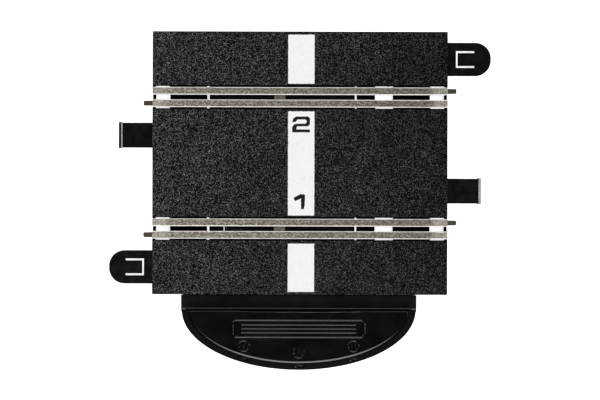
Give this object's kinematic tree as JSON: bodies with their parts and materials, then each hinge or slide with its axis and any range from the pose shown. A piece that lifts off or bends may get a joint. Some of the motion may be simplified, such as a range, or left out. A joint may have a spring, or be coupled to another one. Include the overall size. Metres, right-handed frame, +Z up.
{
  "type": "slot car power track",
  "caption": "Straight two-lane slot car track piece with a curved power base, sprung end connectors, steel rails, throttle sockets and a power inlet.",
  "frame": {"origin": "middle of the roadway, on the surface that the track lies on", "axes": "+X along the lanes, +Y across the lanes away from the power base, +Z up"},
  "size_m": [0.2266, 0.2012, 0.0174],
  "materials": {
    "roadway_plastic": "fine asphalt grain moulded into black plastic",
    "start_line_ink": "opaque white pad print on the roadway",
    "connector_plastic": "smooth black plastic",
    "cover_plastic": "black plastic with a satin gloss",
    "base_plastic": "plain black plastic",
    "rail_steel": "tinned steel strip, mottled, with bright rolled edges",
    "tinned_strip": "tinned strip",
    "zinc_steel": "zinc plated steel",
    "nickel": "nickel plated",
    "board_laminate": "brown paper laminate",
    "socket_plastic": "black moulded plastic",
    "choke_ferrite": "dark ferrite",
    "capacitor_resin": "dipped resin",
    "lead_insulation": "soft brown insulation"
  },
  "bodies": {
    "track": {"roadway_deck": "roadway_plastic", "latch_tab_right": "connector_plastic", "latch_tab_left": "connector_plastic", "hook_tab_right": "connector_plastic", "hook_tab_left": "connector_plastic", "lane_1_near_rail": "rail_steel", "lane_1_far_rail": "rail_steel", "lane_2_near_rail": "rail_steel", "lane_2_far_rail": "rail_steel", "power_base_cover": "cover_plastic", "base_plate": "base_plastic", "deck_screws": "zinc_steel", "cover_screws": "zinc_steel", "circuit_board": "board_laminate", "throttle_socket_lane_1": "socket_plastic", "throttle_socket_lane_2": "socket_plastic", "power_inlet": "socket_plastic", "power_inlet_pin": "nickel", "choke_lane_1": "choke_ferrite", "choke_lane_2": "choke_ferrite", "suppressor_capacitor": "capacitor_resin", "bus_strip": "tinned_strip", "feed_lead_lane_1": "lead_insulation", "feed_lead_lane_2": "lead_insulation"},
    "latch_tongue_right": {"latch_tongue_right": "connector_plastic"},
    "latch_tongue_left": {"latch_tongue_left": "connector_plastic"},
    "release_lug_right": {"release_lug_right": "connector_plastic"},
    "release_lug_left": {"release_lug_left": "connector_plastic"}
  },
  "joints": [
    {"name": "latch_tongue_right_flex", "type": "hinge", "parent": "track", "child": "latch_tongue_right", "pos_m": [0.10277, 0.0619, 0.0035], "axis": [0, 1, 0], "range_deg": [0, 9], "stiffness_Nm_per_rad": 0.12},
    {"name": "latch_tongue_left_flex", "type": "hinge", "parent": "track", "child": "latch_tongue_left", "pos_m": [-0.10277, -0.0619, 0.0035], "axis": [0, -1, 0], "range_deg": [0, 9], "stiffness_Nm_per_rad": 0.12},
    {"name": "release_lug_right_flex", "type": "hinge", "parent": "track", "child": "release_lug_right", "pos_m": [0.08207, 0.0164, 0.00595], "axis": [0, 1, 0], "range_deg": [0, 5], "stiffness_Nm_per_rad": 0.12},
    {"name": "release_lug_left_flex", "type": "hinge", "parent": "track", "child": "release_lug_left", "pos_m": [-0.08207, -0.0164, 0.00595], "axis": [0, -1, 0], "range_deg": [0, 5], "stiffness_Nm_per_rad": 0.12}
  ]
}
